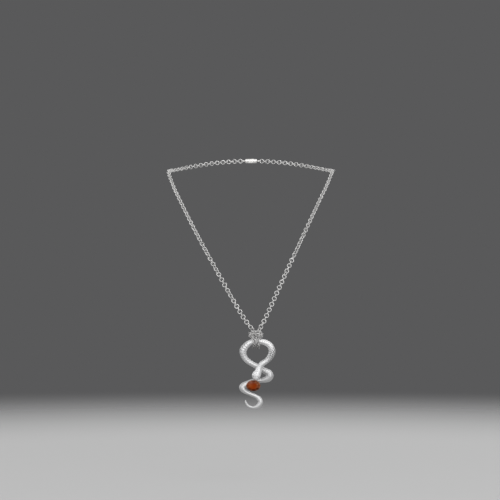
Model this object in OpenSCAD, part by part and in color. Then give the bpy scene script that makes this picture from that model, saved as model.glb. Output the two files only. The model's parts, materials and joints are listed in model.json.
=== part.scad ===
/* [Chain] */
// Outer diameter of one round link
link_d = 3.9; // [3.8:0.05:3.95]
// Diameter of the wire that a link is bent from
link_wire_d = 0.6; // [0.5:0.05:0.6]
// Play between two links of a taut chain
link_play = 0.16; // [0.12:0.01:0.2]

/* [Neck] */
// Half the width of the loop where it crosses the shoulders
shoulder_x = 68.5; // [60:0.5:74]
// How far the loop runs back from the shoulders to the nape
nape_depth = 45; // [44:1:60]
// How far the nape lies above the shoulders
nape_rise = 10; // [6:1:14]

/* [Hitch] */
// How far the chain's knot on the pendant lies to one side of the middle
hitch_x = 3.9; // [0:0.1:5]
// How far the knot lies in front of the shoulders
hitch_front = 88; // [86:0.5:90]
// How far the knot lies below the shoulders
hitch_drop = 139.9; // [138:0.1:142]
// Radius of the chain's turns round the ring of the snake
hitch_turn_r = 4.8; // [4.75:0.05:4.9]

/* [Stone] */
// Width of the oval stone
stone_w = 11.7; // [10:0.1:11.8]
// Height of the oval stone
stone_h = 9; // [7:0.1:9.1]
// Depth of the crown, from girdle to table
stone_crown = 1.3; // [1:0.1:1.6]
// Depth of the pavilion, from girdle to the point at the back
stone_pavilion = 2.3; // [2:0.1:2.4]

/* [Clasp] */
// Length of the barrel between the two eyes
clasp_barrel_l = 10; // [8:0.5:12]
// Diameter of the barrel
clasp_barrel_d = 3.4; // [3:0.1:4]

/* [Hidden] */

LEFT = -1;
RIGHT = 1;
X = 0;
Y = 1;
Z = 2;

// A link is a round ring, and its neighbours hang in it a quarter turn apart
link_ring_r = (link_d - link_wire_d) / 2;
link_pitch = link_d - 2 * link_wire_d - link_play;
// The links are slack in the knot, and taut from there to the clasp
knot_pitch = link_pitch - 0.33;
knot_run = 42;

// Columns of a hitch row: outwards from the middle, forwards, upwards
hitch_inner = 1.45;
hitch_outer = 4.3;
hitch_turn_from = 80;
hitch_turn_to = 380;
hitch_turn_steps = 10;
HITCH_BIGHT = [
    [0, 6.2, 7.5],
    [2.2, 6, 7.5],
    [3.9, 5.2, 6.6],
    [4.6, 3.3, 5.5],
];

// Columns of a strand row, from the knot up to the shoulders: across, forwards, upwards
STRAND_RIGHT = [
    [5.35, 91.1, -135.6],
    [5.7, 90.7, -132.9],
    [6.8, 90.4, -130],
    [11.5, 89.5, -121],
    [20.3, 84.5, -101.8],
    [29.2, 78, -82.5],
    [38.3, 69, -63.2],
    [47.7, 56, -43.5],
    [57.4, 37, -23.5],
    [62.6, 24, -13.3],
    [67.2, 8, -2.8],
];
STRAND_LEFT = [
    [2.45, 91.1, -135.6],
    [2.1, 90.7, -132.9],
    [0.9, 90.4, -130],
    [-5.9, 89.5, -121],
    [-17.3, 84.5, -101.8],
    [-28.1, 78, -82.5],
    [-38.9, 69, -63.2],
    [-49.4, 56, -43.5],
    [-59.6, 37, -23.5],
    [-64.6, 24, -13.3],
    [-68.8, 8, -2.8],
];

// Columns of a roll row: the run from the middle of the knot, and the roll of the links
// about their heading, in degrees. The strands twist a little all the way up.
ROLL_RIGHT = [
    [42, 45],
    [52, 0],
    [86, 0],
    [94, 36],
    [101, 0],
    [105, 0],
    [114, 45],
    [126, 50],
    [135, 25],
    [146, 30],
    [160, 50],
    [180, 42],
    [245, 45],
    [268, 0],
];
ROLL_LEFT = [
    [42, 45],
    [52, 0],
    [66, 5],
    [78, 38],
    [86, 0],
    [93, 0],
    [100, 40],
    [109, 15],
    [118, 45],
    [126, 22],
    [136, 45],
    [150, 55],
    [165, 40],
    [185, 50],
    [245, 45],
    [268, 0],
];

route_steps = 8;
nape_steps = 6;
clasp_reach = clasp_barrel_l / 2 + link_ring_r;

// Columns of a snake row: across, up, forwards, width, thickness
WIDTH = 3;
THICK = 4;
SNAKE = [
    [-0.3, -31.1, 2.7, 1.4, 1.1],
    [-0.2, -30.5, 2.6, 3, 2],
    [-0.1, -29.5, 2.5, 4.8, 3.1],
    [0.25, -27.1, 2.4, 7, 4.1],
    [1.75, -24.2, 2.4, 5.6, 4.1],
    [2.8, -20.9, 2.4, 4.4, 4],
    [5, -17.8, 2.3, 4.8, 4.5],
    [8.3, -15.5, 1.8, 4.4, 4.4],
    [11.35, -12.4, 1.1, 5, 5],
    [12.9, -8.3, 0.6, 5.6, 5.4],
    [11.8, -4.2, 0.2, 5, 5],
    [8.9, -1.5, 0.1, 4.7, 4.7],
    [4.8, -0.1, 0, 4.5, 4.6],
    [0, 0.2, 0, 4.5, 4.6],
    [-4.8, -1, 0, 4.6, 4.6],
    [-8.4, -3.9, 0, 5.3, 5.2],
    [-10.4, -7.8, -0.2, 5.7, 5.4],
    [-9.6, -11.9, -0.7, 4.7, 4.7],
    [-6.9, -15.5, -1.4, 4.4, 4.4],
    [-2.8, -18.3, -1.9, 4.1, 4.2],
    [1.3, -20.5, -2.1, 4.4, 4.3],
    [5.1, -22.6, -2, 4.3, 4.4],
    [8.1, -24.2, -1.8, 5.1, 4.8],
    [10.3, -25.5, -1.6, 5.4, 5],
    [11.1, -27.6, -1.5, 6.2, 5.5],
    [10, -29.6, -1.6, 5.7, 5.2],
    [7.9, -30.6, -1.8, 5, 4.9],
    [4.8, -31.3, -2, 3.9, 4.1],
    [0.8, -31.6, -2.1, 4, 4.2],
    [-2.9, -32.3, -2, 4.2, 4.3],
    [-6, -33.5, -1.7, 4.4, 4.4],
    [-8.1, -34.6, -1.4, 5.1, 4.7],
    [-9.8, -35.6, -1.1, 5.6, 4.9],
    [-10.9, -36.9, -0.9, 5.3, 4.9],
    [-10.2, -38.5, -0.7, 5, 4.7],
    [-8.7, -40, -0.6, 4, 4],
    [-6.6, -41.2, -0.5, 3.1, 3.3],
    [-3.5, -42.6, -0.4, 2.9, 3.1],
    [-0.1, -44.1, -0.3, 2.9, 3],
    [2.5, -46.2, -0.3, 3.7, 3.5],
    [3.6, -48.8, -0.2, 4, 3.8],
    [1.7, -51.8, -0.2, 3.5, 3.3],
    [-2.2, -53, -0.2, 2, 2.1],
    [-5.9, -51.9, -0.2, 1.7, 1.8],
    [-7.9, -49.4, -0.2, 1.6, 1.6],
    [-8.6, -47.1, -0.2, 0.9, 0.9],
];
snake_steps = 3;
snake_sides = 24;

// Middle of the stone's girdle, measured from the ring's top as the snake is
stone_x = -2.15;
stone_z = -35.35;
stone_front = 1.5;
stone_sides = 16;
stone_girdle = 0.25;
stone_table_share = 0.62;
crown_mid_share = 0.87;
crown_mid_height = 0.55;
// The stone rests on the inner edge of an open collar
collar_outer_share = 0.9;
collar_inner_share = 0.68;
collar_back = -1.4;
collar_gap = 0.1;
collar_front = stone_front - stone_girdle / 2
    - stone_pavilion * (1 - collar_inner_share) - collar_gap;

// Point between rows b and c on the smooth curve through four rows
function between(a, b, c, d, t) =
    0.5 * (2 * b + (c - a) * t + (2 * a - 5 * b + 4 * c - d) * t * t
    + (3 * b - a - 3 * c + d) * t * t * t);

// Smooth curve through all the rows, with some steps from each to the next
function smooth(rows, steps) =
    let (last = len(rows) - 1)
    [for (i = [0:last - 1]) for (k = [0:steps - 1])
        between(rows[max(i - 1, 0)], rows[i], rows[i + 1], rows[min(i + 2, last)], k / steps),
    rows[last]];

function unit(v) = v / norm(v);

// Direction of the curve at each of its points
function headings(points) =
    let (last = len(points) - 1)
    [for (i = [0:last]) unit(points[min(i + 1, last)] - points[max(i - 1, 0)])];

// Length of the curve from its start to each of its points
function runs(points) =
    [for (i = 0, run = 0; i < len(points);
        i = i + 1, run = i < len(points) ? run + norm(points[i] - points[i - 1]) : run)
        run];

// Directions square to the curve: the given ones first, and the last of them
// carried on along the rest without a twist
function squared(face, heading) = unit(face - (face * heading) * heading);
function faces(given, headings) =
    [for (i = 0, face = squared(given[0], headings[0]); i < len(headings);
        i = i + 1, face = squared(i < len(given) ? given[i] : face, headings[min(i, len(headings) - 1)]))
        face];

// Value at one run, from a list of vectors given at all the runs
function at_run(run, runs, vectors) =
    [for (axis = [X:Z]) lookup(run, [for (i = [0:len(runs) - 1]) [runs[i], vectors[i][axis]]])];

// The knot, from the middle of its front bar to the front of the ring. Each row
// holds a place, and the direction that the chain's outer side faces there.
function hitch_rows(side) = concat(
    [for (row = HITCH_BIGHT) hitch_row(side, row, 90)],
    [for (k = [0:hitch_turn_steps])
        let (
            part = k / hitch_turn_steps,
            turn = hitch_turn_from + part * (hitch_turn_to - hitch_turn_from),
            out = hitch_inner + (hitch_outer - hitch_inner) * pow(1 - part, 3)
        )
        hitch_row(side, [out, hitch_turn_r * cos(turn), hitch_turn_r * sin(turn)], turn)]
);
function hitch_row(side, row, turn) =
    [hitch_x + side * row[X], -hitch_front - row[Y], row[Z] - hitch_drop,
    0, -cos(turn), sin(turn)];
function places(rows) = [for (row = rows) [row[X], row[Y], row[Z]]];
function outer_sides(rows) = [for (row = rows) [row[3], row[4], row[5]]];

// The back of the loop, from the shoulder to the clasp's eye
function nape_rows(side) = concat(
    [for (k = [0:nape_steps - 1])
        let (turn = 84 * k / nape_steps)
        [side * shoulder_x * cos(turn), nape_depth * sin(turn), nape_rise * pow(sin(turn), 2)]],
    [[side * clasp_reach, nape_depth, nape_rise]]
);

function strand_rows(side) =
    [for (row = side == LEFT ? STRAND_LEFT : STRAND_RIGHT) [row[X], -row[Y], row[Z]]];

function chain_route(side) =
    smooth(concat(places(hitch_rows(side)), strand_rows(side), nape_rows(side)), route_steps);

// Where the links of one side sit: place, heading and axis of each ring
function link_places(side) =
    let (
        route = chain_route(side),
        run_list = runs(route),
        heading_list = headings(route),
        face_list = faces(outer_sides(smooth(hitch_rows(side), route_steps)), heading_list),
        total = run_list[len(run_list) - 1],
        knot_links = knot_run / knot_pitch,
        links = round(knot_links + (total - knot_run) / link_pitch - 0.5),
        pitch = (total - knot_run) / (links + 0.5 - knot_links)
    )
    [for (k = [0:links])
        let (
            place = k + 0.5,
            run = min(place, knot_links) * knot_pitch + max(place - knot_links, 0) * pitch,
            heading = unit(at_run(run, run_list, heading_list)),
            face = squared(at_run(run, run_list, face_list), heading),
            turn = lookup(run, side == LEFT ? ROLL_LEFT : ROLL_RIGHT) + 90 * (k % 2)
        )
        [
            at_run(run, run_list, route),
            heading,
            face * cos(turn) + cross(heading, face) * sin(turn)
        ]];

LINKS_LEFT = link_places(LEFT);
LINKS_RIGHT = link_places(RIGHT);

module link(place) {
    flank = cross(place[2], place[1]);
    multmatrix([
        [place[1][X], flank[X], place[2][X], place[0][X]],
        [place[1][Y], flank[Y], place[2][Y], place[0][Y]],
        [place[1][Z], flank[Z], place[2][Z], place[0][Z]],
    ])
        rotate_extrude($fn = 48)
            translate([link_ring_r, 0])
                circle(d = link_wire_d, $fn = 24);
}

// The last place of each side belongs to the clasp's eye
module chain(places) {
    color("silver")
        for (k = [0:len(places) - 2])
            link(places[k]);
}

module chain_left() {
    chain(LINKS_LEFT);
}

module chain_right() {
    chain(LINKS_RIGHT);
}

module clasp() {
    shoulder = 0.5;
    color("silver") {
        link(LINKS_LEFT[len(LINKS_LEFT) - 1]);
        link(LINKS_RIGHT[len(LINKS_RIGHT) - 1]);
        translate([0, nape_depth, nape_rise])
            rotate([0, 90, 0])
                rotate_extrude($fn = 48)
                    polygon([
                        [0, -clasp_barrel_l / 2],
                        [clasp_barrel_d / 2 - shoulder, -clasp_barrel_l / 2],
                        [clasp_barrel_d / 2, -clasp_barrel_l / 2 + shoulder],
                        [clasp_barrel_d / 2, clasp_barrel_l / 2 - shoulder],
                        [clasp_barrel_d / 2 - shoulder, clasp_barrel_l / 2],
                        [0, clasp_barrel_l / 2],
                    ]);
    }
}

// One ring of points round the snake's body, square to its heading
function snake_ring(row, heading) =
    let (
        side = unit(cross(heading, [0, -1, 0])),
        front = cross(side, heading)
    )
    [for (k = [0:snake_sides - 1])
        let (turn = 360 * k / snake_sides)
        [row[X], -row[2], row[1]] + side * row[WIDTH] / 2 * cos(turn)
        + front * row[THICK] / 2 * sin(turn)];

module snake_body() {
    rows = smooth(SNAKE, snake_steps);
    heading_list = headings([for (row = rows) [row[0], -row[2], row[1]]]);
    rings = [for (i = [0:len(rows) - 1]) each snake_ring(rows[i], heading_list[i])];
    last = len(rows) - 1;
    walls = [for (i = [0:last - 1]) for (k = [0:snake_sides - 1])
        let (
            here = i * snake_sides + k,
            next = i * snake_sides + (k + 1) % snake_sides
        )
        each [
            [here, next, here + snake_sides],
            [next, next + snake_sides, here + snake_sides],
        ]];
    snout = [for (k = [snake_sides - 1:-1:0]) k];
    tail = [for (k = [0:snake_sides - 1]) last * snake_sides + k];
    polyhedron(rings, concat(walls, [snout, tail]), convexity = 8);
}

// Oval outline of the stone at one level, shrunk by a share
function oval(share) =
    [for (k = [0:stone_sides - 1])
        let (turn = 360 * (k + 0.5) / stone_sides)
        [stone_w / 2 * share * cos(turn), stone_h / 2 * share * sin(turn)]];

module at_stone() {
    translate([stone_x, -stone_front, stone_z])
        rotate([90, 0, 0])
            children();
}

// Faceted stone: pavilion, girdle, two rows of crown facets and the table
module stone_solid() {
    levels = [
        [1, -stone_girdle / 2],
        [1, stone_girdle / 2],
        [crown_mid_share, stone_girdle / 2 + stone_crown * crown_mid_height],
        [stone_table_share, stone_girdle / 2 + stone_crown],
    ];
    points = concat(
        [for (level = levels) for (p = oval(level[0])) [p[X], p[Y], level[1]]],
        [[0, 0, -stone_girdle / 2 - stone_pavilion]]
    );
    point_at_back = len(levels) * stone_sides;
    walls = [for (i = [0:len(levels) - 2]) for (k = [0:stone_sides - 1])
        let (
            here = i * stone_sides + k,
            next = i * stone_sides + (k + 1) % stone_sides
        )
        each [
            [here, here + stone_sides, next],
            [next, here + stone_sides, next + stone_sides],
        ]];
    back = [for (k = [0:stone_sides - 1]) [k, (k + 1) % stone_sides, point_at_back]];
    table = [for (k = [stone_sides - 1:-1:0]) (len(levels) - 1) * stone_sides + k];
    polyhedron(points, concat(walls, back, [table]), convexity = 2);
}

// Open collar behind the stone, soldered to the body
module collar() {
    at_stone()
        translate([0, 0, collar_back - stone_front])
            linear_extrude(collar_front - collar_back)
                difference() {
                    polygon(oval(collar_outer_share));
                    polygon(oval(collar_inner_share));
                }
}

module at_pendant() {
    translate([hitch_x, -hitch_front, -hitch_drop])
        children();
}

module snake() {
    color("silver")
        at_pendant()
            union() {
                snake_body();
                collar();
            }
}

module stone() {
    color("orangered")
        at_pendant()
            at_stone()
                stone_solid();
}

chain_left();
chain_right();
clasp();
snake();
stone();
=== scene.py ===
import json
import math

import bmesh
import bpy
import numpy as np
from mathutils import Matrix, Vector


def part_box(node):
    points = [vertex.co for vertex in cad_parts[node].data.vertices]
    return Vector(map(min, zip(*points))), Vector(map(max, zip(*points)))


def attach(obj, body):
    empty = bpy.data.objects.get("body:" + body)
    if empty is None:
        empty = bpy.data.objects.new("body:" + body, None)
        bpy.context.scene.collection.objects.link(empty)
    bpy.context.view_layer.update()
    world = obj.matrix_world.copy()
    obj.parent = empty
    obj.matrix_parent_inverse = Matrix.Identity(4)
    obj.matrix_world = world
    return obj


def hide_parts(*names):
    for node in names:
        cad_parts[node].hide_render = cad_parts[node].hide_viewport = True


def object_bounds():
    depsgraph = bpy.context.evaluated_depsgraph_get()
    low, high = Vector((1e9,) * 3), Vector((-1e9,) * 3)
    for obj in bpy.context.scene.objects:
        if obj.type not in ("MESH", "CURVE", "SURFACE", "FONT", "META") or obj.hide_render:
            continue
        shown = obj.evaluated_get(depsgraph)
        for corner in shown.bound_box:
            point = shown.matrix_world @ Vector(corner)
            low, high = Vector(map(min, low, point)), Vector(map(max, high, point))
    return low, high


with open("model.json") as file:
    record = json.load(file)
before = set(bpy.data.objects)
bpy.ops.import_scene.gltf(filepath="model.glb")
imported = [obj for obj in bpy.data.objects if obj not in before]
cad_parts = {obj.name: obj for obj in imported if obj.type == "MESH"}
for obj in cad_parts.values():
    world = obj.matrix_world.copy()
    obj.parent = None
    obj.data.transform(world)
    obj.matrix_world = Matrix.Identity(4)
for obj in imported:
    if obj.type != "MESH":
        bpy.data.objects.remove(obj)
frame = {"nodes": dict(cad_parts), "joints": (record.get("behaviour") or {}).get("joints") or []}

cad_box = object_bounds()

# The camera stands level and two metres away, at the height of the breast, with a
# long lens, so that a pixel of the picture is 0.84 mm at the plane of the shoulders.
camera_data = bpy.data.cameras.new("camera")
camera_data.sensor_width = 36.0
camera_data.lens = 171.4
camera_data.clip_end = 20.0
camera = bpy.data.objects.new("camera", camera_data)
camera.location = (-0.00092, -2.0, -0.0664)
camera.rotation_euler = (math.radians(90), 0.0, 0.0)
bpy.context.scene.collection.objects.link(camera)
bpy.context.scene.camera = camera


# The chain is silver wire, bent into round links that were soldered shut and tumbled
# bright. Each link hangs in its neighbours, so its place and tilt come from the frame:
# the frame's own rings are told apart, and a light link is put at the middle of each.
class Wire:
    """An output of a node, or of a group's start. Maths on wires adds Math nodes."""

    def __init__(self, socket):
        self.socket = socket
        self.tree = socket.id_data

    @classmethod
    def node(cls, tree, kind, settings, sockets, output=None):
        """One output of a new node. Settings come first, then its sockets are set."""
        made = tree.nodes.new(kind)
        for name, value in settings.items():
            if name == "stops":
                ramp = made.color_ramp.elements
                ramp[0].color, ramp[-1].color = value[0][1], value[-1][1]
                for place, colour in value[1:-1]:
                    ramp.new(place).color = colour
            else:
                setattr(made, name, value)
        for name, value in sockets.items():
            if isinstance(name, int):
                socket = made.inputs[name]
            else:
                socket = next(s for s in made.inputs if s.name == name and s.enabled)
            cls.plug(value, socket)
        return cls(next(s for s in made.outputs if s.enabled and output in (None, s.name)))

    @classmethod
    def plug(cls, value, socket):
        if isinstance(value, cls):
            socket.id_data.links.new(value.socket, socket)
        else:
            socket.default_value = value

    def maths(self, operation, *others):
        sockets = dict(enumerate((self,) + others))
        return Wire.node(self.tree, "ShaderNodeMath", {"operation": operation}, sockets)

    def vector(self, operation, *others, output="Vector"):
        sockets = dict(enumerate((self,) + others))
        if operation == "SCALE":
            sockets = {0: self, 3: others[0]}
        return Wire.node(self.tree, "ShaderNodeVectorMath", {"operation": operation}, sockets, output)

    def __add__(self, other):
        return self.maths("ADD", other)

    def __radd__(self, other):
        return self.maths("ADD", other)

    def __sub__(self, other):
        return self.maths("SUBTRACT", other)

    def __rsub__(self, other):
        return self.maths("MULTIPLY_ADD", -1, other)

    def __mul__(self, other):
        return self.maths("MULTIPLY", other)

    def __rmul__(self, other):
        return self.maths("MULTIPLY", other)

    def __truediv__(self, other):
        return self.maths("DIVIDE", other)

    def __pow__(self, other):
        return self.maths("POWER", other)

    def __abs__(self):
        return self.maths("ABSOLUTE")

    def least(self, other):
        return self.maths("MINIMUM", other)

    def most(self, other):
        return self.maths("MAXIMUM", other)

    def fraction(self):
        return self.maths("FRACT")

    def ease(self, low, high):
        """0 below low, 1 above high, and a soft step between."""
        return Wire.node(self.tree, "ShaderNodeMapRange", {"interpolation_type": "SMOOTHSTEP"}, {
            "Value": self,
            "From Min": low,
            "From Max": high,
        })

    def hill(self, reach):
        """1 where the wire is 0, falling off on both sides within the reach."""
        part = self / reach
        return (part * part * -1).maths("EXPONENT")


def new_tree(name, sockets):
    """A Geometry Nodes tree with named inputs, and a wire for each of them."""
    tree = bpy.data.node_groups.new(name, "GeometryNodeTree")
    tree.is_modifier = True
    tree.interface.new_socket("Geometry", in_out="OUTPUT", socket_type="NodeSocketGeometry")
    for label, kind in [("Geometry", "Geometry")] + sockets:
        tree.interface.new_socket(label, in_out="INPUT", socket_type="NodeSocket" + kind)
    start = tree.nodes.new("NodeGroupInput")
    return tree, {label: Wire(start.outputs[label]) for label, kind in [("Geometry", 0)] + sockets}


def close_tree(tree, geometry, material):
    """Ends a tree in Realize Instances and Set Material."""
    real = Wire.node(tree, "GeometryNodeRealizeInstances", {}, {"Geometry": geometry})
    dressed = Wire.node(tree, "GeometryNodeSetMaterial", {}, {"Geometry": real, "Material": material})
    Wire.plug(dressed, tree.nodes.new("NodeGroupOutput").inputs["Geometry"])


def stored(tree, geometry, name, value, data_type="FLOAT", domain="POINT"):
    return Wire.node(tree, "GeometryNodeStoreNamedAttribute", {"data_type": data_type, "domain": domain}, {
        "Geometry": geometry,
        "Name": name,
        "Value": value,
    })


def named(tree, name, data_type="FLOAT"):
    return Wire.node(tree, "GeometryNodeInputNamedAttribute", {"data_type": data_type}, {"Name": name})


def run_tree(mesh, tree, values):
    """The plain mesh that a tree makes of a mesh, with its named inputs set."""
    carrier = bpy.data.objects.new("carrier", mesh)
    bpy.context.scene.collection.objects.link(carrier)
    modifier = carrier.modifiers.new("nodes", "NODES")
    modifier.node_group = tree
    for item in tree.interface.items_tree:
        if item.in_out == "INPUT" and item.name in values:
            modifier[item.identifier] = values[item.name]
    ready = carrier.evaluated_get(bpy.context.evaluated_depsgraph_get())
    made = bpy.data.meshes.new_from_object(ready)
    bpy.data.objects.remove(carrier)
    return made


def place_piece(name, mesh, body, slot, *nodes):
    """A finished mesh becomes a piece of the object that rides on a body."""
    piece = bpy.data.objects.new(name, mesh)
    mesh.name = name
    bpy.context.scene.collection.objects.link(piece)
    if nodes:
        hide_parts(*nodes)
    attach(piece, body)
    return piece


def number_rings():
    """A tree that gives every loose ring of a mesh its own number."""
    tree, given = new_tree("number the rings", [("Merge Distance", "Float"), ("Silver", "Material")])
    merged = Wire.node(tree, "GeometryNodeMergeByDistance", {}, {
        "Geometry": given["Geometry"],
        "Distance": given["Merge Distance"],
    })
    island = Wire.node(tree, "GeometryNodeInputMeshIsland", {}, {}, "Island Index")
    close_tree(tree, stored(tree, merged, "ring", island, "INT"), given["Silver"])
    return tree


def ring_places(node):
    """Middle and axis of each loose ring in a node of the frame."""
    copied = frame["nodes"][node].data.copy()
    numbered = run_tree(copied, number_rings(), {"Merge Distance": 1e-6})
    count = len(numbered.vertices)
    points = np.empty(count * 3)
    numbered.vertices.foreach_get("co", points)
    points = points.reshape(-1, 3)
    ring = np.empty(count, int)
    numbered.attributes["ring"].data.foreach_get("value", ring)
    sums = np.stack([np.bincount(ring, points[:, axis]) for axis in range(3)], 1)
    middles = sums / np.bincount(ring)[:, None]
    away = points - middles[ring]
    spread = np.empty((len(middles), 3, 3))
    for a in range(3):
        for b in range(3):
            spread[:, a, b] = np.bincount(ring, away[:, a] * away[:, b])
    return middles, np.linalg.eigh(spread)[1][:, :, 0]


def link_tree():
    """Puts a round wire link at each point, square to the point's axis."""
    tree, given = new_tree("links", [
        ("Link Diameter", "Float"),
        ("Wire Diameter", "Float"),
        ("Link Sides", "Int"),
        ("Wire Sides", "Int"),
        ("Seed", "Int"),
        ("Silver", "Material"),
    ])
    wire_radius = given["Wire Diameter"] * 0.5
    path = Wire.node(tree, "GeometryNodeCurvePrimitiveCircle", {}, {
        "Resolution": given["Link Sides"],
        "Radius": given["Link Diameter"] * 0.5 - wire_radius,
    })
    factor = Wire.node(tree, "GeometryNodeSplineParameter", {}, {}, "Factor")
    profile = Wire.node(tree, "GeometryNodeCurvePrimitiveCircle", {}, {
        "Resolution": given["Wire Sides"],
        "Radius": wire_radius,
    })
    swept = Wire.node(tree, "GeometryNodeCurveToMesh", {}, {
        "Curve": stored(tree, path, "round_link", factor),
        "Profile Curve": profile,
    })
    soft = Wire.node(tree, "GeometryNodeSetShadeSmooth", {}, {"Geometry": swept})
    aligned = Wire.node(tree, "FunctionNodeAlignRotationToVector", {"axis": "Z"}, {
        "Vector": named(tree, "axis", "FLOAT_VECTOR"),
    })
    angle = Wire.node(tree, "FunctionNodeRandomValue", {"data_type": "FLOAT"}, {
        "Max": math.tau,
        "Seed": given["Seed"],
    })
    spin = Wire.node(tree, "FunctionNodeAxisAngleToRotation", {}, {"Axis": (0, 0, 1), "Angle": angle})
    turned = Wire.node(tree, "FunctionNodeRotateRotation", {"rotation_space": "LOCAL"}, {
        "Rotation": aligned,
        "Rotate By": spin,
    })
    links = Wire.node(tree, "GeometryNodeInstanceOnPoints", {}, {
        "Points": given["Geometry"],
        "Instance": soft,
        "Rotation": turned,
    })
    tone = Wire.node(tree, "FunctionNodeRandomValue", {"data_type": "FLOAT"}, {"Seed": given["Seed"] + 1})
    close_tree(tree, stored(tree, links, "link_tone", tone, domain="INSTANCE"), given["Silver"])
    return tree


def new_material(name):
    """An empty material, its tree and its shader."""
    material = bpy.data.materials.new(name)
    material.use_nodes = True
    tree = material.node_tree
    shader = next(n for n in tree.nodes if n.type == "BSDF_PRINCIPLED")
    return material, tree, shader


def painted(tree, name):
    """An attribute of the mesh, as a number."""
    return Wire.node(tree, "ShaderNodeAttribute", {"attribute_name": name}, {}, "Fac")


def object_point(tree):
    return Wire.node(tree, "ShaderNodeTexCoord", {}, {}, "Object")


def noise(tree, scale, detail, roughness=0.5):
    return Wire.node(tree, "ShaderNodeTexNoise", {}, {
        "Vector": object_point(tree),
        "Scale": scale,
        "Detail": detail,
        "Roughness": roughness,
    }, "Fac")


def mix_colours(tree, factor, low, high):
    return Wire.node(tree, "ShaderNodeMix", {"data_type": "RGBA"}, {
        "Factor": factor,
        "A": low,
        "B": high,
    }, "Result")


def bump(tree, height, strength, distance):
    return Wire.node(tree, "ShaderNodeBump", {}, {
        "Strength": strength,
        "Distance": distance,
        "Height": height,
    })


KNOT = Vector(frame["joints"][0]["pos_m"])
LINK_DIAMETER = 0.0039
WIRE_DIAMETER = 0.0006


def chain_silver():
    """Tumbled silver wire: bright, with a dull seam in each link, and painted shade in the knot, darkest low
    in it.
    """
    material, tree, shader = new_material("chain silver")
    seam_half = 0.03
    knot_reach = 0.008
    low_shade_from, low_shade_to = 0.001, 0.0055
    seam = (seam_half - painted(tree, "round_link")).most(0.0) / seam_half
    wear = noise(tree, 900.0, 3.0)
    tone = painted(tree, "link_tone") * 0.6 + wear * 0.4
    light = mix_colours(tree, tone, (0.61, 0.605, 0.595, 1), (0.79, 0.785, 0.775, 1))
    # Painted shade: links darken towards the middle of the knot, where they lie in each other's shade.
    rubbed = object_point(tree).vector("DISTANCE", tuple(KNOT), output="Value").hill(knot_reach)
    light = mix_colours(tree, rubbed * 0.7, light, (0.40, 0.395, 0.39, 1))
    height = Wire.node(tree, "ShaderNodeSeparateXYZ", {}, {"Vector": object_point(tree)}, "Z")
    # Painted shade: links more than a millimetre below the knot's middle are painted darker, fully dark from
    # 5.5 mm down.
    painted_low_shade = (KNOT.z - height).ease(low_shade_from, low_shade_to)
    light = mix_colours(tree, painted_low_shade * 0.8, light, (0.12, 0.118, 0.115, 1))
    Wire.plug(mix_colours(tree, seam * 0.6, light, (0.40, 0.38, 0.35, 1)), shader.inputs["Base Color"])
    Wire.plug(0.16 + wear * 0.14 + seam * 0.25, shader.inputs["Roughness"])
    shader.inputs["Metallic"].default_value = 1.0
    dents = noise(tree, 2600.0, 2.0) * 0.4 - seam * 0.5
    Wire.plug(bump(tree, dents, 0.25, 0.00006), shader.inputs["Normal"])
    return material


CHAIN_SILVER = chain_silver()
LINKS = link_tree()
for seed, node in enumerate(["chain_left", "chain_right"]):
    middles, axes = ring_places(node)
    spots = bpy.data.meshes.new(node)
    spots.from_pydata([tuple(p) for p in middles], [], [])
    spots.attributes.new("axis", "FLOAT_VECTOR", "POINT")
    spots.attributes["axis"].data.foreach_set("vector", axes.ravel())
    links = run_tree(spots, LINKS, {
        "Link Diameter": LINK_DIAMETER,
        "Wire Diameter": WIRE_DIAMETER,
        "Link Sides": 14,
        "Wire Sides": 5,
        "Seed": seed,
        "Silver": CHAIN_SILVER,
    })
    place_piece(node + "_links", links, "chain", "chain", node)


# The snake is one lost-wax casting in silver, satin finished, with the low places of
# its scales left dark. Its upper ring hangs in the knot, its head lies over its own
# body above the stone, and its smooth tail curls below.

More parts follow.
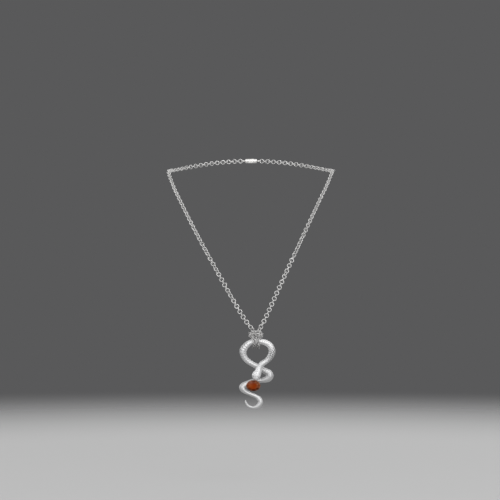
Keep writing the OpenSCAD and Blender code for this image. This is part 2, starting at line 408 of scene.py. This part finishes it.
# Millimetres from the knot, across, up and forwards, width and thickness of the body,
# from snout to tail: the same rows as the part's own source
SNAKE = [
    (-0.3, -31.1, 2.7, 1.4, 1.1),
    (-0.2, -30.5, 2.6, 3, 2),
    (-0.1, -29.5, 2.5, 4.8, 3.1),
    (0.25, -27.1, 2.4, 7, 4.1),
    (1.75, -24.2, 2.4, 5.6, 4.1),
    (2.8, -20.9, 2.4, 4.4, 4),
    (5, -17.8, 2.3, 4.8, 4.5),
    (8.3, -15.5, 1.8, 4.4, 4.4),
    (11.35, -12.4, 1.1, 5, 5),
    (12.9, -8.3, 0.6, 5.6, 5.4),
    (11.8, -4.2, 0.2, 5, 5),
    (8.9, -1.5, 0.1, 4.7, 4.7),
    (4.8, -0.1, 0, 4.5, 4.6),
    (0, 0.2, 0, 4.5, 4.6),
    (-4.8, -1, 0, 4.6, 4.6),
    (-8.4, -3.9, 0, 5.3, 5.2),
    (-10.4, -7.8, -0.2, 5.7, 5.4),
    (-9.6, -11.9, -0.7, 4.7, 4.7),
    (-6.9, -15.5, -1.4, 4.4, 4.4),
    (-2.8, -18.3, -1.9, 4.1, 4.2),
    (1.3, -20.5, -2.1, 4.4, 4.3),
    (5.1, -22.6, -2, 4.3, 4.4),
    (8.1, -24.2, -1.8, 5.1, 4.8),
    (10.3, -25.5, -1.6, 5.4, 5),
    (11.1, -27.6, -1.5, 6.2, 5.5),
    (10, -29.6, -1.6, 5.7, 5.2),
    (7.9, -30.6, -1.8, 5, 4.9),
    (4.8, -31.3, -2, 3.9, 4.1),
    (0.8, -31.6, -2.1, 4, 4.2),
    (-2.9, -32.3, -2, 4.2, 4.3),
    (-6, -33.5, -1.7, 4.4, 4.4),
    (-8.1, -34.6, -1.4, 5.1, 4.7),
    (-9.8, -35.6, -1.1, 5.6, 4.9),
    (-10.9, -36.9, -0.9, 5.3, 4.9),
    (-10.2, -38.5, -0.7, 5, 4.7),
    (-8.7, -40, -0.6, 4, 4),
    (-6.6, -41.2, -0.5, 3.1, 3.3),
    (-3.5, -42.6, -0.4, 2.9, 3.1),
    (-0.1, -44.1, -0.3, 2.9, 3),
    (2.5, -46.2, -0.3, 3.7, 3.5),
    (3.6, -48.8, -0.2, 4, 3.8),
    (1.7, -51.8, -0.2, 3.5, 3.3),
    (-2.2, -53, -0.2, 2, 2.1),
    (-5.9, -51.9, -0.2, 1.7, 1.8),
    (-7.9, -49.4, -0.2, 1.6, 1.6),
    (-8.6, -47.1, -0.2, 0.9, 0.9),
]

# Row of the snake, depth of its scales in mm, how dark they are left, how much the skin
# is lighter, partly rubbed bright and partly painted light, and where the belly faces in degrees, from the
# side round by the front
SKIN = np.array([
    (0, 0, 0, 1, 260),
    (5, 0.02, 0.05, 1, 243),
    (6, 0.05, 0.1, 0.45, 225),
    (7.1, 0.12, 0.4, 0.5, 200),
    (7.7, 0.18, 1.6, 0.8, 192),
    (8.9, 0.18, 1.6, 0.8, 182),
    (9.5, 0.14, 0.4, 0.8, 172),
    (12, 0.09, 0.2, 0.85, 135),
    (14, 0.09, 0.25, 0.95, 115),
    (15, 0.15, 1.2, 0.95, 108),
    (16.5, 0.15, 1.2, 0.95, 100),
    (17.3, 0.11, 0.35, 0.7, 97),
    (19, 0.07, 0.15, 0.2, 80),
    (20, 0.05, 0.1, 0, 60),
    (24, 0.04, 0.08, 0, -30),
    (29, 0.04, 0.05, 0, -90),
    (33, 0.03, 0.03, 0, -90),
    (37, 0.02, 0.02, 0.2, -90),
    (42, 0.01, 0, 0.2, -90),
    (45, 0, 0, 0.2, -90),
])


def carved_skin(turn, run, belly, half_angle, scales_round, scale_length, plate_length):
    """Diamond scales and belly plates: the skin's height from 0 to 1, and pits at their corners."""
    off = (turn - belly).maths("WRAP", math.pi, -math.pi)
    along = run / scale_length
    round_body = off * scales_round / math.tau
    first = (along + round_body).fraction()
    second = (along - round_body).fraction()
    first_edge = first.least(1 - first).ease(0.02, 0.27)
    second_edge = second.least(1 - second).ease(0.02, 0.27)
    scale = first_edge.least(second_edge) * (0.72 + (first + second) * 0.14)
    plate_run = (run / plate_length).fraction()
    plate = plate_run.least(1 - plate_run).ease(0, 0.2) * (0.75 + plate_run * 0.25)
    border = abs(abs(off) - half_angle)
    on_back = (abs(off) - half_angle).ease(-0.12, 0.12)
    height = (plate + (scale - plate) * on_back) * border.ease(0, 0.13)
    return height, (1 - first_edge) * (1 - second_edge) * on_back


def modelled_head(turn, run):
    """Relief of the head in mm: what stands out, and what is cut in."""
    # Where each feature lies: millimetres back from the snout, radians down from the crown
    eye_back, eye_down = 3.7, 0.92
    brow_back, brow_down = 3.8, 0.62
    nostril_back, nostril_down = 1, 0.7
    mouth_down = 1.78
    plate_seams = (2.2, 6.8)
    # Millimetres over the skin for a radian of turn
    at_eye, at_cheek, at_snout = 3, 2.6, 1.6
    proud, cut = 0, 0
    for flank in (1, -1):
        across = ((turn - math.pi / 2) * flank).maths("WRAP", math.pi, -math.pi)
        eye_along, eye_across = run - eye_back, (across - eye_down) * at_eye
        eye = (eye_along * eye_along + eye_across * eye_across) ** 0.5
        brow = (across - brow_down) * at_eye
        brow_run = (run - brow_back).hill(1.7)
        proud = proud + eye.hill(0.55) * 0.34 + brow.hill(0.5) * brow_run * 0.2
        nostril_along, nostril_across = run - nostril_back, (across - nostril_down) * at_snout
        nostril = (nostril_along * nostril_along + nostril_across * nostril_across) ** 0.5
        mouth = (across - mouth_down) * at_cheek
        mouth_run = run.ease(0.3, 1) * (1 - run.ease(7, 7.8))
        temple = (across - 0.16 - run * 0.07) * at_cheek
        temple_run = run.ease(2, 2.8) * (1 - run.ease(6.4, 7.2))
        cut = cut + (eye - 0.95).hill(0.2) * 0.16 + nostril.hill(0.22) * 0.22
        cut = cut + mouth.hill(0.16) * mouth_run * 0.2
        cut = cut + temple.hill(0.14) * temple_run * 0.09
    top = turn.maths("SINE")
    for place in plate_seams:
        cut = cut + (run - place - top * 0.6).hill(0.12) * top.ease(0.45, 0.75) * 0.08
    return proud, cut


def snake_tree():
    """Sweeps the body along the rows of a line, and carves its skin and its head."""
    tree, given = new_tree("snake", [
        ("Step Along", "Float"),
        ("Sides", "Int"),
        ("Scales Round", "Int"),
        ("Scale Length", "Float"),
        ("Plate Length", "Float"),
        ("Belly Half Angle", "Float"),
        ("End Rounding", "Float"),
        ("Silver", "Material"),
    ])
    line = Wire.node(tree, "GeometryNodeMeshToCurve", {}, {"Mesh": given["Geometry"]})
    line = Wire.node(tree, "GeometryNodeCurveSplineType", {"spline_type": "CATMULL_ROM"}, {"Curve": line})
    line = Wire.node(tree, "GeometryNodeSetSplineResolution", {}, {"Geometry": line, "Resolution": 24})
    line = Wire.node(tree, "GeometryNodeResampleCurve", {"mode": "LENGTH"}, {
        "Curve": line,
        "Length": given["Step Along"],
    })
    position = Wire.node(tree, "GeometryNodeInputPosition", {}, {})
    heading = Wire.node(tree, "GeometryNodeInputTangent", {}, {})
    run = Wire.node(tree, "GeometryNodeSplineParameter", {}, {}, "Length")
    whole = Wire.node(tree, "GeometryNodeSplineLength", {}, {}, "Length")
    line = stored(tree, line, "middle", position, "FLOAT_VECTOR")
    line = stored(tree, line, "heading", heading, "FLOAT_VECTOR")
    line = stored(tree, line, "run", run)
    line = stored(tree, line, "left", whole - run)
    factor = Wire.node(tree, "GeometryNodeSplineParameter", {}, {}, "Factor")
    ring = Wire.node(tree, "GeometryNodeCurvePrimitiveCircle", {}, {
        "Resolution": given["Sides"],
        "Radius": 0.001,
    })
    skin = Wire.node(tree, "GeometryNodeCurveToMesh", {}, {
        "Curve": line,
        "Profile Curve": stored(tree, ring, "turn", factor * math.tau),
    })

    heading = named(tree, "heading", "FLOAT_VECTOR")
    side = heading.vector("CROSS_PRODUCT", (0, -1, 0)).vector("NORMALIZE")
    front = side.vector("CROSS_PRODUCT", heading)
    turn, run = named(tree, "turn"), named(tree, "run")
    rounding = []
    for end in (run, named(tree, "left")):
        short = 1 - (end / given["End Rounding"]).least(1)
        rounding.append((1 - short * short) ** 0.5)
    shrink = rounding[0] * rounding[1]
    half_width = named(tree, "width") * shrink * 0.5
    half_thickness = named(tree, "thickness") * shrink * 0.5
    cos, sin = turn.maths("COSINE"), turn.maths("SINE")
    place = side.vector("SCALE", half_width * cos)
    place = place.vector("ADD", front.vector("SCALE", half_thickness * sin))
    outwards = side.vector("SCALE", half_thickness * cos)
    outwards = outwards.vector("ADD", front.vector("SCALE", half_width * sin)).vector("NORMALIZE")

    depth, dark = named(tree, "scale_depth"), named(tree, "scale_dark")
    height, pits = carved_skin(turn, run, named(tree, "belly"), given["Belly Half Angle"],
                               given["Scales Round"], given["Scale Length"], given["Plate Length"])
    proud, cut = modelled_head(turn, run * 1000)
    head_end, neck_start = 0.0085, 0.011
    on_head = 1 - run.ease(head_end, neck_start)
    relief = (height - 1) * depth + (proud - cut) * on_head * 0.001
    place = place.vector("ADD", outwards.vector("SCALE", relief * shrink))
    place = place.vector("ADD", named(tree, "middle", "FLOAT_VECTOR"))
    worn_inside = (cos * -1).ease(0.3, 0.9)
    shade = ((1 - height) * 0.5 + pits * 0.9) * dark * (1 - worn_inside * 0.75) + cut * on_head * 3
    skin = stored(tree, skin, "low_place", shade.least(1))
    skin = Wire.node(tree, "GeometryNodeSetPosition", {}, {"Geometry": skin, "Position": place})
    skin = Wire.node(tree, "GeometryNodeMergeByDistance", {}, {"Geometry": skin, "Distance": 1e-6})
    skin = Wire.node(tree, "GeometryNodeSetShadeSmooth", {}, {"Geometry": skin})
    close_tree(tree, skin, given["Silver"])
    return tree


def snake_silver():
    """Satin cast silver, dark in the grooves between scales, and lighter by row, partly rubbed bright and
    partly painted light.
    """
    material, tree, shader = new_material("snake silver")
    low = painted(tree, "low_place")
    patches = noise(tree, 260.0, 4.0)
    bright = mix_colours(tree, patches, (0.51, 0.51, 0.515, 1), (0.63, 0.63, 0.63, 1))
    # Partly polish and partly painted light: each row is mixed towards a brighter silver by its rubbed
    # column.
    bright = mix_colours(tree, painted(tree, "rubbed"), bright, (0.82, 0.82, 0.825, 1))
    Wire.plug(mix_colours(tree, low, bright, (0.06, 0.06, 0.06, 1)), shader.inputs["Base Color"])
    Wire.plug(0.43 + patches * 0.12 + low * 0.2, shader.inputs["Roughness"])
    shader.inputs["Metallic"].default_value = 1.0
    Wire.plug(bump(tree, noise(tree, 5200.0, 3.0), 0.2, 0.00004), shader.inputs["Normal"])
    return material


SNAKE_SILVER = snake_silver()
line = bpy.data.meshes.new("snake line")
spots = [KNOT + Vector((row[0], -row[2], row[1])) / 1000 for row in SNAKE]
line.from_pydata([tuple(p) for p in spots], [(k, k + 1) for k in range(len(spots) - 1)], [])
rows = np.arange(len(SNAKE))
columns = {
    "width": np.array(SNAKE)[:, 3] / 1000,
    "thickness": np.array(SNAKE)[:, 4] / 1000,
    "scale_depth": np.interp(rows, SKIN[:, 0], SKIN[:, 1]) / 1000,
    "scale_dark": np.interp(rows, SKIN[:, 0], SKIN[:, 2]),
    "rubbed": np.interp(rows, SKIN[:, 0], SKIN[:, 3]),
    "belly": np.radians(np.interp(rows, SKIN[:, 0], SKIN[:, 4])),
}
for name, values in columns.items():
    line.attributes.new(name, "FLOAT", "POINT").data.foreach_set("value", values)
snake = run_tree(line, snake_tree(), {
    "Step Along": 0.00018,
    "Sides": 96,
    "Scales Round": 8,
    "Scale Length": 0.0022,
    "Plate Length": 0.0021,
    "Belly Half Angle": math.radians(58),
    "End Rounding": 0.0006,
    "Silver": SNAKE_SILVER,
})
place_piece("snake_body", snake, "pendant", "snake", "snake")

# The stone's seat is an open collar of the same casting: an oval wall that rises from
# the body behind the stone, with soft rims.
STONE_LOW, STONE_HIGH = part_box("stone")
STONE_MIDDLE = (STONE_LOW + STONE_HIGH) / 2
STONE_HALF = (STONE_HIGH - STONE_LOW) / 2
CROWN, PAVILION, GIRDLE = 0.0013, 0.0023, 0.00025
GIRDLE_Y = STONE_LOW.y + CROWN + GIRDLE / 2


def oval_point(mesh, share, turn, height):
    """A point of an oval like the stone's, and its height in front of the girdle."""
    return mesh.verts.new((
        STONE_MIDDLE.x + STONE_HALF.x * share * math.cos(turn),
        GIRDLE_Y - height,
        STONE_MIDDLE.z + STONE_HALF.z * share * math.sin(turn),
    ))


def finished(mesh, name, material):
    bmesh.ops.recalc_face_normals(mesh, faces=mesh.faces)
    made = bpy.data.meshes.new(name)
    mesh.to_mesh(made)
    mesh.free()
    made.materials.append(material)
    return made


# The wall's section: share of the stone's half sizes, and metres in front of the girdle
WALL = [(0.90, -0.0029), (0.90, -0.0012), (0.87, -0.0010), (0.71, -0.0010), (0.68, -0.0012), (0.68, -0.0029)]
WALL_SIDES = 64
wall_turns = [math.tau * k / WALL_SIDES for k in range(WALL_SIDES)]
collar = bmesh.new()
rims = [[oval_point(collar, share, turn, height) for turn in wall_turns] for share, height in WALL]
for here, there in zip(rims, rims[1:] + rims[:1]):
    for k in range(WALL_SIDES):
        after = (k + 1) % WALL_SIDES
        collar.faces.new((here[k], here[after], there[after], there[k])).smooth = True
place_piece("stone_collar", finished(collar, "stone_collar", SNAKE_SILVER), "pendant", "snake")


# The stone is a warm orange-brown quartz, cut as an oval brilliant: a table, stars,
# kites and halves on the crown, a thin girdle, and mains and halves on the pavilion.
# It lies in the collar; its colour paints a glow where light comes back from the facets behind.
def cut_stone():
    table_share, star_share, low_share = 0.56, 0.79, 0.38
    octave = math.tau / 8
    half = math.cos(octave / 2)
    star_height = GIRDLE / 2 + CROWN * (1 - star_share * half) / (1 - table_share)
    low_height = -GIRDLE / 2 - PAVILION * (1 - low_share * half)
    mesh = bmesh.new()
    table = [oval_point(mesh, table_share, k * octave, GIRDLE / 2 + CROWN) for k in range(8)]
    stars = [oval_point(mesh, star_share, (k + 0.5) * octave, star_height) for k in range(8)]
    top = [oval_point(mesh, 1, k * octave / 2, GIRDLE / 2) for k in range(16)]
    foot = [oval_point(mesh, 1, k * octave / 2, -GIRDLE / 2) for k in range(16)]
    lows = [oval_point(mesh, low_share, (k + 0.5) * octave, low_height) for k in range(8)]
    culet = oval_point(mesh, 0, 0, -GIRDLE / 2 - PAVILION)
    # Painted light: each facet carries a value, its own share raised towards the top and the sides and
    # lowered most at the bottom, as if lit from above.
    gleam = mesh.faces.layers.float.new("gleam")

    def facet(corners, part, share):
        turn = part * octave
        mesh.faces.new(corners)[gleam] = share + 0.12 * math.sin(turn) + 0.09 * math.cos(2 * turn)

    mesh.faces.new(table)[gleam] = 0.5
    for k in range(8):
        after, before = (k + 1) % 8, (k - 1) % 8
        facet((table[k], table[after], stars[k]), k + 0.5, 0.62)
        facet((table[k], stars[k], top[2 * k], stars[before]), k, 0.34)
        facet((stars[k], top[2 * k], top[2 * k + 1]), k + 0.25, 0.52)
        facet((stars[k], top[2 * k + 1], top[(2 * k + 2) % 16]), k + 0.75, 0.7)
        facet((culet, lows[k], foot[2 * k], lows[before]), k, 0.55)
        facet((lows[k], foot[2 * k], foot[2 * k + 1]), k + 0.25, 0.3)
        facet((lows[k], foot[2 * k + 1], foot[(2 * k + 2) % 16]), k + 0.75, 0.4)
    for k in range(16):
        after = (k + 1) % 16
        facet((top[k], top[after], foot[after], foot[k]), k / 2 + 0.25, 0.2)
    return mesh


def stone_quartz():
    """Orange-brown quartz: a warm veiled heart with a painted glow, facets painted dark or pale towards the
    rim, and a painted reflection and a painted shadow near the top.
    """
    material, tree, shader = new_material("stone quartz")
    veils = noise(tree, 330.0, 4.0, 0.6)
    off_centre = object_point(tree).vector("SUBTRACT", tuple(STONE_MIDDLE))
    off_centre = off_centre.vector("MULTIPLY", (1 / STONE_HALF.x, 0, 1 / STONE_HALF.z))

    def spot(across, up, reach):
        return off_centre.vector("DISTANCE", (across, 0, up), output="Value").hill(reach)

    rim = (1 - spot(-0.1, -0.02, 0.75)).ease(0.2, 0.85)
    heart = mix_colours(tree, veils, (0.18, 0.013, 0.0003, 1), (0.26, 0.038, 0.001, 1))
    # Painted light and shade: facets run from dark to pale by the light value each facet carries.
    facets = mix_colours(tree, painted(tree, "gleam").ease(0.1, 0.9),
                         (0.03, 0.007, 0.003, 1), (0.32, 0.12, 0.06, 1))
    # Painted glow: the heart is a brighter orange left of its middle.
    heart = mix_colours(tree, spot(-0.45, 0, 0.3) * 0.6, heart, (0.30, 0.075, 0.02, 1))
    colour = mix_colours(tree, rim, heart, facets)
    # Painted reflection: a pale pinkish patch near the top left, mirroring the silver above.
    colour = mix_colours(tree, spot(-0.4, 0.62, 0.3) * 0.6, colour, (0.23, 0.11, 0.085, 1))
    # Painted shadow: a dark patch at the top middle, where the snout shades the stone.
    colour = mix_colours(tree, spot(0.1, 0.62, 0.22) * 0.7, colour, (0.10, 0.02, 0.014, 1))
    Wire.plug(colour, shader.inputs["Base Color"])
    Wire.plug(0.02 + veils * 0.05, shader.inputs["Roughness"])
    shader.inputs["IOR"].default_value = 1.55
    shader.inputs["Specular IOR Level"].default_value = 0.06
    shader.inputs["Specular Tint"].default_value = (1, 0.5, 0.2, 1)
    shader.inputs["Transmission Weight"].default_value = 0.08
    return material


place_piece("oval_stone", finished(cut_stone(), "oval_stone", stone_quartz()), "pendant", "stone", "stone")


# The clasp joins the chain at the nape: a turned barrel with an eye soldered to each
# end. The frame's solid stays, and a knurled sleeve with two beaded rims is pressed
# over the barrel, for the fingers to turn.
def knurled_sleeve():
    length, radius, ribs = 0.0062, 0.00185, 30
    groove, grooved_half = 0.04, 0.36
    low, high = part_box("clasp")
    middle = (low + high) / 2
    # Shares of the length and of the radius: a beaded rim, a neck, the sleeve, and the same back
    stations = [(-0.5, 0.90), (-0.49, 0.97), (-0.44, 1.0), (-0.39, 0.97), (-0.37, 0.93), (-0.34, 0.98),
                (0.34, 0.98), (0.37, 0.93), (0.39, 0.97), (0.44, 1.0), (0.49, 0.97), (0.5, 0.90)]
    sides = ribs * 4
    mesh = bmesh.new()
    rings = []
    for part, share in stations:
        ring = []
        for k in range(sides):
            dip = groove * (k % 4 == 0) if abs(part) < grooved_half else 0
            reach = radius * (share - dip)
            turn = math.tau * k / sides
            ring.append(mesh.verts.new((
                middle.x + part * length,
                middle.y + reach * math.cos(turn),
                middle.z + reach * math.sin(turn),
            )))
        rings.append(ring)
    for here, there in zip(rings, rings[1:]):
        for k in range(sides):
            after = (k + 1) % sides
            mesh.faces.new((here[k], here[after], there[after], there[k]))
    mesh.faces.new(rings[0])
    mesh.faces.new(rings[-1])
    return mesh


def clasp_silver():
    """Turned silver, with fine rings from the tool round its length."""
    material, tree, shader = new_material("clasp silver")
    wear = noise(tree, 700.0, 3.0)
    colour = mix_colours(tree, wear, (0.78, 0.77, 0.75, 1), (0.92, 0.91, 0.89, 1))
    Wire.plug(colour, shader.inputs["Base Color"])
    Wire.plug(0.18 + wear * 0.14, shader.inputs["Roughness"])
    shader.inputs["Metallic"].default_value = 1.0
    rings = Wire.node(tree, "ShaderNodeTexWave", {"wave_type": "BANDS", "bands_direction": "X"}, {
        "Vector": object_point(tree),
        "Scale": 1800.0,
    }, "Fac")
    Wire.plug(bump(tree, rings, 0.12, 0.00003), shader.inputs["Normal"])
    return material


CLASP_SILVER = clasp_silver()
clasp_slots = frame["nodes"]["clasp"].data.materials
clasp_slots.clear()
clasp_slots.append(CLASP_SILVER)
sleeve = finished(knurled_sleeve(), "clasp_sleeve", CLASP_SILVER)
place_piece("clasp_sleeve", sleeve, "chain", "clasp")


# The studio is plain: a pale floor that fades into a dark grey surround, so that the
# silver stands out, and large soft lights. What the silver mirrors is a soft room,
# brighter above than below.
FLOOR_RADIUS = 1.2
FLOOR_DROP = 0.06


def floor_paint():
    material, tree, shader = new_material("floor")
    point = object_point(tree)
    radius = point.vector("LENGTH", output="Value")
    shader.inputs["Base Color"].default_value = (0.46, 0.46, 0.46, 1)
    shader.inputs["Roughness"].default_value = 0.9
    Wire.plug(1 - radius.ease(FLOOR_RADIUS * 0.3, FLOOR_RADIUS), shader.inputs["Alpha"])
    return material


disc = bmesh.new()
bmesh.ops.create_circle(disc, cap_ends=True, segments=96, radius=FLOOR_RADIUS)
floor = bpy.data.objects.new("floor", finished(disc, "floor", floor_paint()))
floor.location = (0, 0, cad_box[0].z - FLOOR_DROP)
bpy.context.scene.collection.objects.link(floor)

world = bpy.data.worlds.new("studio")
world.use_nodes = True
bpy.context.scene.world = world
sky = world.node_tree
direction = Wire.node(sky, "ShaderNodeTexCoord", {}, {}, "Generated")
height = Wire.node(sky, "ShaderNodeSeparateXYZ", {}, {"Vector": direction}, "Z")
room = Wire.node(sky, "ShaderNodeValToRGB", {"stops": [
    (0.0, (0.36, 0.36, 0.36, 1)),
    (0.35, (0.38, 0.38, 0.38, 1)),
    (0.5, (0.53, 0.53, 0.535, 1)),
    (0.6, (0.60, 0.60, 0.61, 1)),
    (0.72, (0.78, 0.78, 0.78, 1)),
    (1.0, (0.68, 0.68, 0.68, 1)),
]}, {"Fac": height * 0.5 + 0.5}, "Color")
seen = Wire.node(sky, "ShaderNodeLightPath", {}, {}, "Is Camera Ray")
shown = mix_colours(sky, seen, room, (0.10, 0.10, 0.102, 1))
backdrop = next(n for n in sky.nodes if n.type == "BACKGROUND")
Wire.plug(shown, backdrop.inputs["Color"])

# Place, size in metres and power in watts of each lamp
LIGHTS = [
    ("key", (0.6, -1.3, 1.4), 1.5, 11.5),
    ("front", (0.7, -2.3, 0.3), 1.6, 7.5),
    ("fill", (-1.2, -1.7, 0.5), 1.4, 5),
    ("low", (0.2, -1.3, -0.21), 0.6, 1.2),
    ("left", (-1.5, 0.5, 0.4), 0.7, 2.5),
    ("back", (0.6, 1.5, 0.7), 0.8, 4),
]
target = Vector((0, -0.06, -0.1))
for label, place, size, watts in LIGHTS:
    lamp = bpy.data.lights.new(label, "AREA")
    lamp.shape = "DISK"
    lamp.size = size
    lamp.energy = watts
    holder = bpy.data.objects.new(label, lamp)
    holder.location = place
    holder.visible_camera = False
    holder.rotation_euler = (Vector(place) - target).to_track_quat("Z", "Y").to_euler()
    bpy.context.scene.collection.objects.link(holder)

bpy.context.scene.view_settings.view_transform = "Standard"
